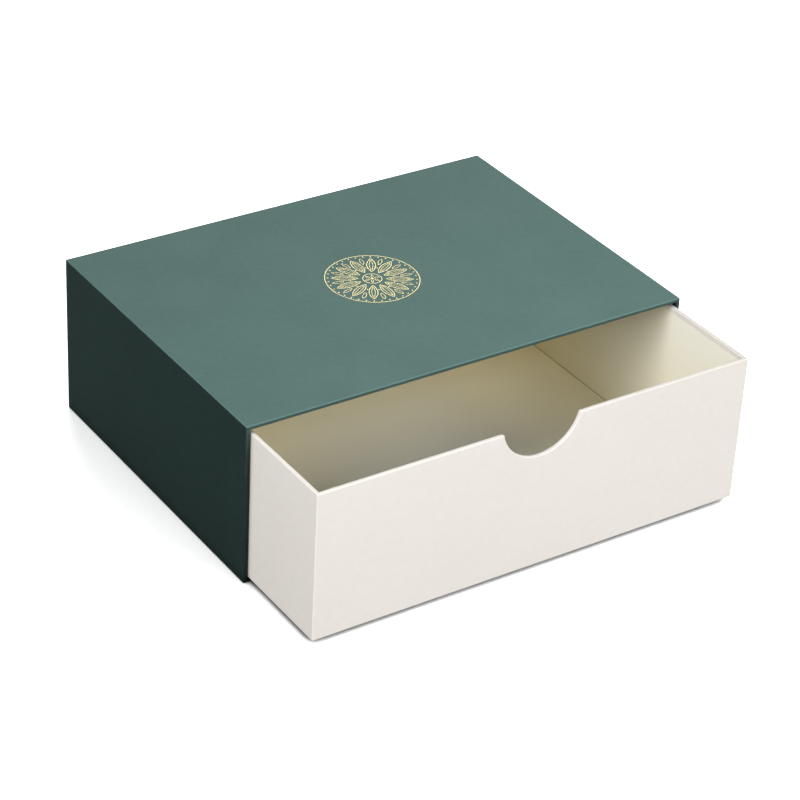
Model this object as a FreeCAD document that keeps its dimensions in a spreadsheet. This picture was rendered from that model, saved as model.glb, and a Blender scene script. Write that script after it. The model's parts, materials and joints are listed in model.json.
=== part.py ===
import FreeCAD, Part
import os

import Sketcher

# A sliding drawer gift box of paper-wrapped greyboard: a green sleeve, closed at the back,
# and the cream tray that slides out of its mouth.
#
# Millimetres. X runs to the right, Y from the mouth to the back, Z up. The origin is the
# centre of the sleeve's underside, and the tray stands drawer_open out of the mouth.
#
# A wall is a stack of sheets. From the outside in: the wrap, a stay tape (only round the
# corners), the board, the wrap turned in over the board's edge, and the liner.

SIZES = {
    # Sleeve, over its wrap
    "sleeve_width": 230.0,
    "sleeve_depth": 165.0,
    "sleeve_height": 80.0,
    # Stock
    "sleeve_board": 1.5,
    "tray_board": 1.5,
    "wrap_paper": 0.2,
    "stay_tape": 0.1,
    "glue_line": 0.03,
    "liner_paper": 0.12,
    "sheet_paper": 0.12,
    # Folds and turn-ins of the wraps
    "fold_round": 0.5,
    "fold_limit": 2.5,
    "tape_leg": 14.0,
    "mouth_turn_in": 16.0,
    "back_turn_in": 15.0,
    "base_turn_in": 15.0,
    "notch_tab": 12.0,
    "liner_reveal": 2.5,
    "sheet_reveal": 3.0,
    "floor_crease": 0.4,
    # Fit of the tray in the sleeve
    "side_gap": 0.25,
    "floor_gap": 0.15,
    "top_gap": 1.6,
    "back_gap": 0.7,
    "drawer_open": 53.0,
    # Thumb notch, measured at the rim
    "notch_width": 40.0,
    "notch_depth": 16.0,
    # Foil rosette on the sleeve's top
    "foil_relief": 0.05,
    "foil_line": 0.45,
    "petal_count": 12,
    "petal_start": 6.4,
    "petal_end": 18.6,
    "petal_bulge": 2.1,
    "bud_start": 13.2,
    "bud_end": 19.6,
    "bud_bulge": 0.8,
    "bead_reach": 21.6,
    "bead_radius": 0.55,
    "eye_radius": 4.4,
    "eye_dot_radius": 1.5,
}

# What follows from the driving sizes. Each line may use the lines above it.
FITS = {
    # Sleeve: its core is the wrapped tube, which stands on the base sheet
    "core_height": "Sizes.sleeve_height - Sizes.sheet_paper",
    "core_middle": "Sizes.sheet_paper + core_height / 2",
    "core_depth": "Sizes.sleeve_depth - Sizes.sheet_paper",
    "outer_skin": "Sizes.wrap_paper + Sizes.glue_line + Sizes.stay_tape",
    "shell_width": "Sizes.sleeve_width - 2 * outer_skin",
    "shell_height": "core_height - 2 * outer_skin",
    "shell_depth": "core_depth - 2 * Sizes.wrap_paper",
    "room_width": "shell_width - 2 * Sizes.sleeve_board",
    "room_height": "shell_height - 2 * Sizes.sleeve_board",
    "mouth_width": "room_width - 2 * Sizes.wrap_paper",
    "mouth_height": "room_height - 2 * Sizes.wrap_paper",
    "bore_width": "mouth_width - 2 * Sizes.liner_paper",
    "bore_height": "mouth_height - 2 * Sizes.liner_paper",
    "back_liner_from": "Sizes.wrap_paper + shell_depth - Sizes.sleeve_board - Sizes.liner_paper",
    # Tray, over its wrap
    "tray_width": "bore_width - 2 * Sizes.side_gap",
    "tray_height": "bore_height - Sizes.floor_gap - Sizes.top_gap",
    "tray_depth": "back_liner_from - Sizes.back_gap",
    "tray_wall": "outer_skin + Sizes.tray_board + Sizes.wrap_paper",
    "frame_width": "tray_width - 2 * outer_skin",
    "frame_depth": "tray_depth - 2 * outer_skin",
    "frame_foot": "Sizes.sheet_paper + Sizes.wrap_paper",
    "frame_height": "tray_height - Sizes.wrap_paper - frame_foot",
    "well_width": "frame_width - 2 * Sizes.tray_board",
    "well_depth": "frame_depth - 2 * Sizes.tray_board",
    "rim_width": "well_width - 2 * Sizes.wrap_paper",
    "rim_depth": "well_depth - 2 * Sizes.wrap_paper",
    "floor_top": "frame_foot + Sizes.tray_board",
    "rim_turn_in": "Sizes.notch_depth + Sizes.notch_tab",
    "tray_underside": "core_middle - bore_height / 2 + Sizes.floor_gap",
    "tray_middle": "tray_depth / 2 - Sizes.sleeve_depth / 2 - Sizes.drawer_open",
    # Thumb notch: one arc through the two rim corners and the deepest point
    "notch_radius": "(Sizes.notch_width ^ 2 / 4 + Sizes.notch_depth ^ 2) / (2 * Sizes.notch_depth)",
    "notch_centre": "tray_height + notch_radius - Sizes.notch_depth",
    "notch_board_radius": "notch_radius + Sizes.wrap_paper",
    "notch_liner_radius": "notch_radius + Sizes.liner_reveal",
    # A fold stays within the paper at its corner
    "fold_radius": "min(Sizes.fold_round; Sizes.fold_limit * Sizes.wrap_paper)",
    "petal_pitch": "360 / Sizes.petal_count",
}

# Two faces or edges this close are in the same place.
TOUCH = 1e-4
QUARTER_TURN_DEGREES = 90
FULL_TURN_DEGREES = 360
ALONG_Y = FreeCAD.Vector(0, 1, 0)
ALONG_Z = FreeCAD.Vector(0, 0, 1)

doc = FreeCAD.newDocument("SlidingDrawerGiftBox")


def fill_sheet(name, entries, prefix=""):
    """Write one row per entry: its name, its value under that alias."""
    sheet = doc.addObject("Spreadsheet::Sheet", name)
    for row, (alias, value) in enumerate(entries.items(), start=1):
        sheet.set(f"A{row}", alias)
        sheet.set(f"B{row}", f"{prefix}{value}")
        sheet.setAlias(f"B{row}", alias)
    doc.recompute()
    return sheet


def bind(target, expressions):
    """Tie properties of an object to the sheets."""
    for path, expression in expressions.items():
        target.setExpression(path, expression)


# ---------------------------------------------------------------- bodies and sketches

def new_body(label, place=("0", "0", "0"), turn_axis=ALONG_Z, quarters=0):
    """A body at a place worked out from the sheets, turned by quarters about one axis."""
    body = doc.addObject("PartDesign::Body", label)
    body.Label = label
    body.Placement.Rotation = FreeCAD.Rotation(turn_axis, quarters * QUARTER_TURN_DEGREES)
    bind(body, {f"Placement.Base.{axis}": value for axis, value in zip("xyz", place)})
    return body


def new_sketch(body, name, plane, shift=("0", "0", "0")):
    """A sketch on one of the body's own planes. The third shift runs along its normal."""
    sketch = body.newObject("Sketcher::SketchObject", f"{body.Label}_{name}")
    planes = {feature.Role: feature for feature in body.Origin.OriginFeatures}
    sketch.AttachmentSupport = [(planes[plane], "")]
    sketch.MapMode = "FlatFace"
    bind(sketch, {f"AttachmentOffset.Base.{axis}": value for axis, value in zip("xyz", shift)})
    return sketch


def now(sketch, expression):
    """What an expression comes to with the sheets as they are."""
    return float(sketch.evalExpression(expression))


def point(sketch, across, up):
    """A place in the sketch, worked out from two expressions."""
    return FreeCAD.Vector(now(sketch, across), now(sketch, up), 0)


def dimension(sketch, name, value, kind, *places):
    """A named dimension of the sketch, tied to the sheets."""
    index = sketch.addConstraint(Sketcher.Constraint(kind, *places, now(sketch, value)))
    sketch.renameConstraint(index, name)
    sketch.setExpression(f"Constraints.{name}", value)


def draw_loop(sketch, corners):
    """A closed loop of straight lines through corners given as pairs of expressions."""
    points = [point(sketch, *corner) for corner in corners]
    lines = [
        sketch.addGeometry(Part.LineSegment(start, end), False)
        for start, end in zip(points, points[1:] + points[:1])
    ]
    for line, following in zip(lines, lines[1:] + lines[:1]):
        sketch.addConstraint(Sketcher.Constraint("Coincident", line, 2, following, 1))
    return lines


def draw_rectangle(sketch, name, width, height):
    """A rectangle centred on the sketch's origin."""
    half = (f"({width}) / 2", f"({height}) / 2")
    corners = [(f"{x} * {half[0]}", f"{y} * {half[1]}") for x, y in ((-1, -1), (1, -1), (1, 1), (-1, 1))]
    low, right, high, left = draw_loop(sketch, corners)
    for line in (low, high):
        sketch.addConstraint(Sketcher.Constraint("Horizontal", line))
    for line in (right, left):
        sketch.addConstraint(Sketcher.Constraint("Vertical", line))
    sketch.addConstraint(Sketcher.Constraint("Symmetric", low, 1, right, 2, -1, 1))
    dimension(sketch, f"{name}_width", width, "DistanceX", low, 1, low, 2)
    dimension(sketch, f"{name}_height", height, "DistanceY", right, 1, right, 2)


def draw_circle(sketch, name, radius, height="0"):
    """A circle centred on the sketch's upright axis, at a height above its origin."""
    start = Part.Circle(point(sketch, "0", height), FreeCAD.Vector(0, 0, 1), now(sketch, radius))
    circle = sketch.addGeometry(start, False)
    if height == "0":
        sketch.addConstraint(Sketcher.Constraint("Coincident", circle, 3, -1, 1))
    else:
        sketch.addConstraint(Sketcher.Constraint("PointOnObject", circle, 3, -2))
        dimension(sketch, f"{name}_height", height, "DistanceY", -1, 1, circle, 3)
    dimension(sketch, f"{name}_radius", radius, "Radius", circle)


def draw_lens(sketch, name, start, end, bulge):
    """A leaf outline along the sketch's X axis: two equal arcs that meet in two tips."""
    tips = (point(sketch, start, "0"), point(sketch, end, "0"))
    middle = f"(({start}) + ({end})) / 2"
    lowest, highest = (point(sketch, middle, f"{side} * ({bulge})") for side in (-1, 1))
    # A sketch keeps its arcs anticlockwise: the lower one runs out to the far tip, and the
    # upper one back again.
    under = sketch.addGeometry(Part.Arc(tips[0], lowest, tips[1]), False)
    over = sketch.addGeometry(Part.Arc(tips[1], highest, tips[0]), False)
    sketch.addConstraint(Sketcher.Constraint("Coincident", under, 1, over, 2))
    sketch.addConstraint(Sketcher.Constraint("Coincident", under, 2, over, 1))
    sketch.addConstraint(Sketcher.Constraint("PointOnObject", under, 1, -1))
    sketch.addConstraint(Sketcher.Constraint("PointOnObject", under, 2, -1))
    sketch.addConstraint(Sketcher.Constraint("Equal", under, over))
    dimension(sketch, f"{name}_start", start, "DistanceX", -1, 1, under, 1)
    dimension(sketch, f"{name}_end", end, "DistanceX", -1, 1, under, 2)
    radius = f"((({end}) - ({start})) ^ 2 / 4 + ({bulge}) ^ 2) / (2 * ({bulge}))"
    dimension(sketch, f"{name}_radius", radius, "Radius", under)


def new_pad(body, sketch, name, length, back=False):
    """Pad a sketch along its normal, or the other way."""
    pad = body.newObject("PartDesign::Pad", f"{body.Label}_{name}")
    pad.Profile = sketch
    pad.Reversed = back
    pad.setExpression("Length", length)
    sketch.Visibility = False
    return pad


def pad_plate(body, name, width, height, length, plane="XY_Plane", shift=("0", "0", "0")):
    """A plain sheet or board: a centred rectangle, padded."""
    sketch = new_sketch(body, f"{name}_outline", plane, shift)
    draw_rectangle(sketch, name, width, height)
    return new_pad(body, sketch, name, length, back=plane == "XZ_Plane")


def pad_band(body, name, outer, inner, length, plane="XY_Plane", shift=("0", "0", "0")):
    """A closed band: the ring between two centred rectangles, padded."""
    sketch = new_sketch(body, f"{name}_outline", plane, shift)
    draw_rectangle(sketch, "outer", *outer)
    draw_rectangle(sketch, "inner", *inner)
    return new_pad(body, sketch, name, length, back=plane == "XZ_Plane")


def cut_notch(body, radius):
    """Cut the thumb notch's arc through the tray's front wall, from the middle forwards."""
    before = body.Shape.Volume
    sketch = new_sketch(body, "notch_arc", "XZ_Plane")
    draw_circle(sketch, "notch", radius, "Fits.notch_centre")
    pocket = body.newObject("PartDesign::Pocket", f"{body.Label}_notch")
    pocket.Profile = sketch
    pocket.Reversed = True
    pocket.setExpression("Length", "Fits.tray_depth")
    doc.recompute()
    if not body.Shape.Volume < before:
        raise RuntimeError(f"{body.Label}: the notch cuts nothing")
    return pocket


# ---------------------------------------------------------------- folds

def planes_of(edge, levels):
    """How many of the given planes hold the whole edge. A level is an axis and a place."""
    box = edge.BoundBox
    spans = {"x": (box.XMin, box.XMax), "y": (box.YMin, box.YMax), "z": (box.ZMin, box.ZMax)}
    return sum(
        max(abs(low - place), abs(high - place)) < TOUCH
        for axis, place in levels
        for low, high in (spans[axis],)
    )


def mirrored(axis, half):
    """The two planes on either side of the middle."""
    return [(axis, -half), (axis, half)]


def round_folds(body, name, chosen):
    """Round the paper where it folds, over the chosen edges."""
    doc.recompute()
    feature = body.Tip
    edges = [f"Edge{index}" for index, edge in enumerate(feature.Shape.Edges, start=1) if chosen(edge)]
    fillet = body.newObject("PartDesign::Fillet", f"{body.Label}_{name}")
    fillet.Base = (feature, edges)
    fillet.setExpression("Radius", "Fits.fold_radius")
    return fillet


# ---------------------------------------------------------------- the sleeve

# The sleeve's pieces are drawn from the middle of its mouth: X right, Z up, Y to the back.
SLEEVE_PLACE = ("0", "-Sizes.sleeve_depth / 2", "Fits.core_middle")

# The sides and long edges in order, each a quarter turn about the Y axis past the last,
# with the board shell's size across it and in the direction that it faces.
UPRIGHT = ("Fits.shell_width", "Fits.shell_height")
SIDEWAYS = ("Fits.shell_height", "Fits.shell_width")
SLEEVE_SIDES = {"top": UPRIGHT, "right": SIDEWAYS, "bottom": UPRIGHT, "left": SIDEWAYS}
SLEEVE_CORNERS = {
    "top_right": UPRIGHT,
    "bottom_right": SIDEWAYS,
    "bottom_left": UPRIGHT,
    "top_left": SIDEWAYS,
}


def make_sleeve_board(side, quarters, across, reach):
    """One side of the tube, mitred along both long edges where the grooved board folds."""
    body = new_body(f"sleeve_{side}_board", SLEEVE_PLACE, ALONG_Y, quarters)
    inner_face = f"{reach} / 2 - Sizes.sleeve_board"
    sketch = new_sketch(body, "section", "XZ_Plane", ("0", inner_face, "-Sizes.wrap_paper"))
    half_inner = f"({across} / 2 - Sizes.sleeve_board)"
    corners = (
        (f"-{half_inner}", "0"),
        (half_inner, "0"),
        (f"{across} / 2", "Sizes.sleeve_board"),
        (f"-{across} / 2", "Sizes.sleeve_board"),
    )
    inner, right, outer, left = draw_loop(sketch, corners)
    sketch.addConstraint(Sketcher.Constraint("PointOnObject", inner, 1, -1))
    sketch.addConstraint(Sketcher.Constraint("Symmetric", inner, 1, inner, 2, -1, 1))
    sketch.addConstraint(Sketcher.Constraint("Symmetric", outer, 1, outer, 2, -2))
    dimension(sketch, "outer_width", across, "DistanceX", outer, 2, outer, 1)
    dimension(sketch, "inner_width", f"2 * {half_inner}", "DistanceX", inner, 1, inner, 2)
    dimension(sketch, "board", "Sizes.sleeve_board", "DistanceY", -1, 1, outer, 1)
    new_pad(body, sketch, "board", "Fits.shell_depth", back=True)
    return body


def make_sleeve_back_board():
    """The back, dropped between the four sides and flush with their ends."""
    body = new_body("sleeve_back_board", SLEEVE_PLACE)
    pad_plate(
        body,
        "board",
        "Fits.room_width",
        "Fits.room_height",
        "Sizes.sleeve_board",
        "XZ_Plane",
        ("0", "0", "-(Sizes.wrap_paper + Fits.shell_depth - Sizes.sleeve_board)"),
    )
    return body


def draw_tape_section(sketch, across, reach):
    """An L round one corner, whose outer legs lie on the wrap's inner face."""
    corner = (f"{across} / 2", f"{reach} / 2")
    outside = [f"{value} + Sizes.stay_tape" for value in corner]
    leg_end = [f"{value} - Sizes.tape_leg" for value in outside]
    corners = (
        (outside[0], outside[1]),
        (leg_end[0], outside[1]),
        (leg_end[0], corner[1]),
        (corner[0], corner[1]),
        (corner[0], leg_end[1]),
        (outside[0], leg_end[1]),
    )
    top, short_end, under, inside, foot, side = draw_loop(sketch, corners)
    for line in (top, under, foot):
        sketch.addConstraint(Sketcher.Constraint("Horizontal", line))
    for line in (short_end, inside, side):
        sketch.addConstraint(Sketcher.Constraint("Vertical", line))
    dimension(sketch, "across", corner[0], "DistanceX", -1, 1, inside, 1)
    dimension(sketch, "reach", corner[1], "DistanceY", -1, 1, inside, 1)
    dimension(sketch, "tape_across", "Sizes.stay_tape", "DistanceX", inside, 1, top, 1)
    dimension(sketch, "tape_up", "Sizes.stay_tape", "DistanceY", inside, 1, top, 1)
    dimension(sketch, "leg_across", "Sizes.tape_leg", "DistanceX", short_end, 1, top, 1)
    dimension(sketch, "leg_down", "Sizes.tape_leg", "DistanceY", side, 1, top, 1)


def make_sleeve_tape(corner, quarters, across, reach):
    """Paper tape that stays one long edge of the tube, under the wrap."""
    body = new_body(f"sleeve_{corner}_tape", SLEEVE_PLACE, ALONG_Y, quarters)
    sketch = new_sketch(body, "section", "XZ_Plane", ("0", "0", "-Sizes.wrap_paper"))
    draw_tape_section(sketch, across, reach)
    new_pad(body, sketch, "tape", "Fits.shell_depth", back=True)
    return body


def make_sleeve_wrap():
    """The green paper: round the tube, in at the mouth and over the back board's margin."""
    body = new_body("sleeve_wrap", SLEEVE_PLACE)
    outer = ("Sizes.sleeve_width", "Fits.core_height")
    inner = ("Sizes.sleeve_width - 2 * Sizes.wrap_paper", "Fits.core_height - 2 * Sizes.wrap_paper")
    room = ("Fits.room_width", "Fits.room_height")
    mouth = ("Fits.mouth_width", "Fits.mouth_height")
    margin = (
        "Sizes.sleeve_width - 2 * Sizes.back_turn_in",
        "Fits.core_height - 2 * Sizes.back_turn_in",
    )
    last = ("0", "0", "-(Fits.core_depth - Sizes.wrap_paper)")
    pad_band(body, "round", outer, inner, "Fits.core_depth", "XZ_Plane")
    pad_band(body, "mouth_fold", outer, mouth, "Sizes.wrap_paper", "XZ_Plane")
    pad_band(body, "mouth_turn_in", room, mouth, "Sizes.mouth_turn_in", "XZ_Plane")
    pad_band(body, "back_turn_in", outer, margin, "Sizes.wrap_paper", "XZ_Plane", last)
    doc.recompute()
    width, height = sizes.sleeve_width / 2, fits.core_height / 2
    outside = mirrored("x", width) + mirrored("z", height) + [("y", 0), ("y", fits.core_depth)]
    mouth_inside = mirrored("x", fits.mouth_width / 2) + mirrored("z", fits.mouth_height / 2)
    round_folds(
        body,
        "folds",
        lambda edge: planes_of(edge, outside) == 2
        or (planes_of(edge, [("y", 0)]) == 1 and planes_of(edge, mouth_inside) == 1),
    )
    return body


def make_sleeve_back_sheet():
    """The sheet that hides the turned-in margin behind."""
    body = new_body("sleeve_back_sheet", SLEEVE_PLACE)
    pad_plate(
        body,
        "sheet",
        "Sizes.sleeve_width - 2 * Sizes.sheet_reveal",
        "Fits.core_height - 2 * Sizes.sheet_reveal",
        "Sizes.sheet_paper",
        "XZ_Plane",
        ("0", "0", "-Fits.core_depth"),
    )
    return body


def make_sleeve_base_sheet():
    """The sheet that the box rests on, just inside the wrap's edges."""
    body = new_body("sleeve_base_sheet")
    pad_plate(
        body,
        "sheet",
        "Sizes.sleeve_width - 2 * Sizes.sheet_reveal",
        "Sizes.sleeve_depth - 2 * Sizes.sheet_reveal",
        "Sizes.sheet_paper",
    )
    return body


def make_sleeve_liner():
    """The lining of the four sides, a little way in from the mouth."""
    body = new_body("sleeve_liner", SLEEVE_PLACE)
    pad_band(
        body,
        "tube",
        ("Fits.mouth_width", "Fits.mouth_height"),
        ("Fits.bore_width", "Fits.bore_height"),
        "Fits.back_liner_from - Sizes.liner_reveal",
        "XZ_Plane",
        ("0", "0", "-Sizes.liner_reveal"),
    )
    return body


def make_sleeve_back_liner():
    """The lining of the back board."""
    body = new_body("sleeve_back_liner", SLEEVE_PLACE)
    pad_plate(
        body,
        "sheet",
        "Fits.room_width",
        "Fits.room_height",
        "Sizes.liner_paper",
        "XZ_Plane",
        ("0", "0", "-Fits.back_liner_from"),
    )
    return body


def make_foil_rosette():
    """A stamped flower: outlined petals, buds and beads round a ringed eye."""
    body = new_body("foil_rosette", ("0", "0", "Sizes.sleeve_height"))
    eye = new_sketch(body, "eye_outline", "XY_Plane")
    draw_circle(eye, "ring", "Sizes.eye_radius")
    draw_circle(eye, "hole", "Sizes.eye_radius - Sizes.foil_line")
    new_pad(body, eye, "eye", "Sizes.foil_relief")
    dot = new_sketch(body, "dot_outline", "XY_Plane")
    draw_circle(dot, "dot", "Sizes.eye_dot_radius")
    new_pad(body, dot, "dot", "Sizes.foil_relief")

    petal = new_sketch(body, "petal_outline", "XY_Plane")
    draw_lens(petal, "outer", "Sizes.petal_start", "Sizes.petal_end", "Sizes.petal_bulge")
    draw_lens(
        petal,
        "inner",
        "Sizes.petal_start + 2 * Sizes.foil_line",
        "Sizes.petal_end - 2 * Sizes.foil_line",
        "Sizes.petal_bulge - Sizes.foil_line",
    )
    petal_pad = new_pad(body, petal, "petal", "Sizes.foil_relief")

    bud = new_sketch(body, "bud_outline", "XY_Plane")
    draw_lens(bud, "bud", "Sizes.bud_start", "Sizes.bud_end", "Sizes.bud_bulge")
    bud_pad = new_pad(body, bud, "bud", "Sizes.foil_relief")
    bud.setExpression("AttachmentOffset.Rotation.Angle", "Fits.petal_pitch / 2")

    bead = new_sketch(body, "bead_outline", "XY_Plane", ("Sizes.bead_reach", "0", "0"))
    draw_circle(bead, "bead", "Sizes.bead_radius")
    bead_pad = new_pad(body, bead, "bead", "Sizes.foil_relief")

    ring = body.newObject("PartDesign::PolarPattern", "foil_rosette_round")
    ring.Originals = [petal_pad, bud_pad, bead_pad]
    ring.Axis = (eye, ["N_Axis"])
    ring.Angle = FULL_TURN_DEGREES
    ring.setExpression("Occurrences", "Sizes.petal_count")
    body.Tip = ring
    return body


def make_sleeve():
    """Every piece of the sleeve."""
    for quarters, (side, shell) in enumerate(SLEEVE_SIDES.items()):
        make_sleeve_board(side, quarters, *shell)
    make_sleeve_back_board()
    for quarters, (corner, shell) in enumerate(SLEEVE_CORNERS.items()):
        make_sleeve_tape(corner, quarters, *shell)
    make_sleeve_wrap()
    make_sleeve_back_sheet()
    make_sleeve_base_sheet()
    make_sleeve_liner()
    make_sleeve_back_liner()
    make_foil_rosette()


# ---------------------------------------------------------------- the tray

# The tray's pieces are drawn from the middle of its underside.
TRAY_PLACE = ("0", "Fits.tray_middle", "Fits.tray_underside")

# The upright corners in order, each a quarter turn about the Z axis past the last.
ENDWAYS = ("Fits.frame_width", "Fits.frame_depth")
SIDELONG = ("Fits.frame_depth", "Fits.frame_width")
TRAY_CORNERS = {
    "back_right": ENDWAYS,
    "back_left": SIDELONG,
    "front_left": ENDWAYS,
    "front_right": SIDELONG,
}

# The front and back run the full width, and the sides stand between them.
FRONT_AND_BACK = ("Fits.frame_width", "Sizes.tray_board")
LEFT_AND_RIGHT = ("Sizes.tray_board", "Fits.well_depth")
TRAY_WALLS = {
    "front": (*FRONT_AND_BACK, "0", "-(Fits.frame_depth - Sizes.tray_board) / 2"),
    "back": (*FRONT_AND_BACK, "0", "(Fits.frame_depth - Sizes.tray_board) / 2"),
    "left": (*LEFT_AND_RIGHT, "-(Fits.frame_width - Sizes.tray_board) / 2", "0"),
    "right": (*LEFT_AND_RIGHT, "(Fits.frame_width - Sizes.tray_board) / 2", "0"),
}


def make_tray_wall(side, width, depth, along_x, along_y):
    """One upright board of the tray."""
    body = new_body(f"tray_{side}_board", TRAY_PLACE)
    foot = (along_x, along_y, "Fits.frame_foot")
    pad_plate(body, "board", width, depth, "Fits.frame_height", shift=foot)
    doc.recompute()
    return body


def make_tray_base_board():
    """The floor board, inside the four walls."""
    body = new_body("tray_base_board", TRAY_PLACE)
    foot = ("0", "0", "Fits.frame_foot")
    pad_plate(body, "board", "Fits.well_width", "Fits.well_depth", "Sizes.tray_board", shift=foot)
    return body


def make_tray_tape(corner, quarters, across, reach):
    """Paper tape that stays one upright corner, under the wrap."""
    body = new_body(f"tray_{corner}_tape", TRAY_PLACE, ALONG_Z, quarters)
    sketch = new_sketch(body, "section", "XY_Plane", ("0", "0", "Fits.frame_foot"))
    draw_tape_section(sketch, across, reach)
    new_pad(body, sketch, "tape", "Fits.frame_height")
    return body


def pad_notch_edge(body):
    """The wrap's lip round the notch: the segment below the rim, through the front wall.

    The finished notch, cut afterwards, leaves one paper's thickness of it on the board.
    """
    inner_face = ("0", "0", "Fits.tray_depth / 2 - Fits.tray_wall")
    sketch = new_sketch(body, "notch_lip_outline", "XZ_Plane", inner_face)
    start, end = (point(sketch, f"{side} * Sizes.notch_width / 2", "Fits.tray_height") for side in (-1, 1))
    lowest = point(sketch, "0", "Fits.tray_height - Sizes.notch_depth")
    arc = sketch.addGeometry(Part.Arc(start, lowest, end), False)
    rim = sketch.addGeometry(Part.LineSegment(end, start), False)
    sketch.addConstraint(Sketcher.Constraint("Coincident", arc, 2, rim, 1))
    sketch.addConstraint(Sketcher.Constraint("Coincident", rim, 2, arc, 1))
    sketch.addConstraint(Sketcher.Constraint("Horizontal", rim))
    sketch.addConstraint(Sketcher.Constraint("PointOnObject", arc, 3, -2))
    dimension(sketch, "lip_radius", "Fits.notch_board_radius", "Radius", arc)
    dimension(sketch, "lip_centre", "Fits.notch_centre", "DistanceY", -1, 1, arc, 3)
    dimension(sketch, "rim_height", "Fits.tray_height", "DistanceY", -1, 1, rim, 1)
    new_pad(body, sketch, "notch_lip", "Fits.tray_wall")


def make_tray_wrap():
    """The cream paper: round the walls, over the rim and the notch, and under the base."""
    body = new_body("tray_wrap", TRAY_PLACE)
    outer = ("Fits.tray_width", "Fits.tray_depth")
    inner = ("Fits.tray_width - 2 * Sizes.wrap_paper", "Fits.tray_depth - 2 * Sizes.wrap_paper")
    well = ("Fits.well_width", "Fits.well_depth")
    rim = ("Fits.rim_width", "Fits.rim_depth")
    under = ("Fits.tray_width - 2 * Sizes.base_turn_in", "Fits.tray_depth - 2 * Sizes.base_turn_in")
    foot = ("0", "0", "Sizes.sheet_paper")
    under_rim = ("0", "0", "Fits.tray_height - Sizes.wrap_paper")
    turned_in_to = ("0", "0", "Fits.tray_height - Fits.rim_turn_in")
    pad_band(body, "round", outer, inner, "Fits.tray_height - Sizes.sheet_paper", shift=foot)
    pad_band(body, "rim_fold", outer, rim, "Sizes.wrap_paper", shift=under_rim)
    pad_band(body, "rim_turn_in", well, rim, "Fits.rim_turn_in", shift=turned_in_to)
    pad_band(body, "base_turn_in", outer, under, "Sizes.wrap_paper", shift=foot)
    pad_notch_edge(body)
    doc.recompute()
    cut_notch(body, "Fits.notch_radius")
    width, depth = fits.tray_width / 2, fits.tray_depth / 2
    outside = mirrored("x", width) + mirrored("y", depth)
    outside += [("z", fits.tray_height), ("z", sizes.sheet_paper)]
    rim_inside = mirrored("x", fits.rim_width / 2) + mirrored("y", fits.rim_depth / 2)
    front_wall = [("y", -depth), ("y", fits.tray_wall - depth)]
    round_folds(
        body,
        "folds",
        lambda edge: planes_of(edge, outside) == 2
        or (planes_of(edge, [("z", fits.tray_height)]) == 1 and planes_of(edge, rim_inside) == 1)
        or (planes_of(edge, front_wall) == 1 and is_arc(edge, fits.notch_radius)),
    )
    return body


def is_arc(edge, radius):
    """True for a round edge of the given radius."""
    return isinstance(edge.Curve, Part.Circle) and abs(edge.Curve.Radius - radius) < TOUCH


def make_tray_base_sheet():
    """The sheet under the tray, just inside the wrap's edges."""
    body = new_body("tray_base_sheet", TRAY_PLACE)
    pad_plate(
        body,
        "sheet",
        "Fits.tray_width - 2 * Sizes.sheet_reveal",
        "Fits.tray_depth - 2 * Sizes.sheet_reveal",
        "Sizes.sheet_paper",
    )
    return body


def make_tray_wall_liner():
    """The strip that lines the walls, cut back a little from the rim and the notch."""
    body = new_body("tray_wall_liner", TRAY_PLACE)
    rim = ("Fits.rim_width", "Fits.rim_depth")
    face = ("Fits.rim_width - 2 * Sizes.liner_paper", "Fits.rim_depth - 2 * Sizes.liner_paper")
    height = "Fits.tray_height - Sizes.liner_reveal - Fits.floor_top"
    pad_band(body, "strip", rim, face, height, shift=("0", "0", "Fits.floor_top"))
    doc.recompute()
    cut_notch(body, "Fits.notch_liner_radius")
    return body


def make_tray_floor_liner():
    """The sheet that lines the floor, with a fine crease left open at the walls."""
    body = new_body("tray_floor_liner", TRAY_PLACE)
    edge = "2 * (Sizes.liner_paper + Sizes.floor_crease)"
    pad_plate(
        body,
        "sheet",
        f"Fits.rim_width - {edge}",
        f"Fits.rim_depth - {edge}",
        "Sizes.liner_paper",
        shift=("0", "0", "Fits.floor_top"),
    )
    return body


def make_tray():
    """Every piece of the tray."""
    make_tray_base_board()
    for side, values in TRAY_WALLS.items():
        wall = make_tray_wall(side, *values)
        if side == "front":
            cut_notch(wall, "Fits.notch_board_radius")
    for quarters, (corner, frame) in enumerate(TRAY_CORNERS.items()):
        make_tray_tape(corner, quarters, *frame)
    make_tray_wrap()
    make_tray_base_sheet()
    make_tray_wall_liner()
    make_tray_floor_liner()


# ---------------------------------------------------------------- checks and files

def check_model(bodies):
    """Stop on any failed feature, loose sketch, empty shape or invalid shape."""
    for item in doc.Objects:
        if {"Invalid", "Error"} & set(item.State):
            raise RuntimeError(f"{item.Label} failed: {item.State}")
        if item.TypeId == "Sketcher::SketchObject" and not item.FullyConstrained:
            raise RuntimeError(f"{item.Label} isn't fully constrained")
    for body in bodies:
        if body.Shape.isNull() or not body.Shape.isValid() or body.Shape.Volume <= 0:
            raise RuntimeError(f"{body.Label} has no valid shape")


def write_parts(bodies):
    """One STEP file per piece, named after it."""
    os.makedirs("parts", exist_ok=True)
    for body in bodies:
        body.Shape.exportStep(os.path.join("parts", f"{body.Label}.step"))


sizes = fill_sheet("Sizes", SIZES)
fits = fill_sheet("Fits", FITS, prefix="=")
make_sleeve()
make_tray()
doc.recompute()
pieces = [item for item in doc.Objects if item.TypeId == "PartDesign::Body"]
check_model(pieces)
write_parts(pieces)
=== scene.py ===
"""Sliding drawer gift box: the papers, board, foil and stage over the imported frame.

Run as a script it loads the frame, models the papers that show, gives every node its
material, and sets the floor, lamps and camera. Everything is in metres, in the frame's axes:
X to the right, Y from the mouth to the back, Z up.
"""

import functools
import json
import math
from typing import NamedTuple

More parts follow.
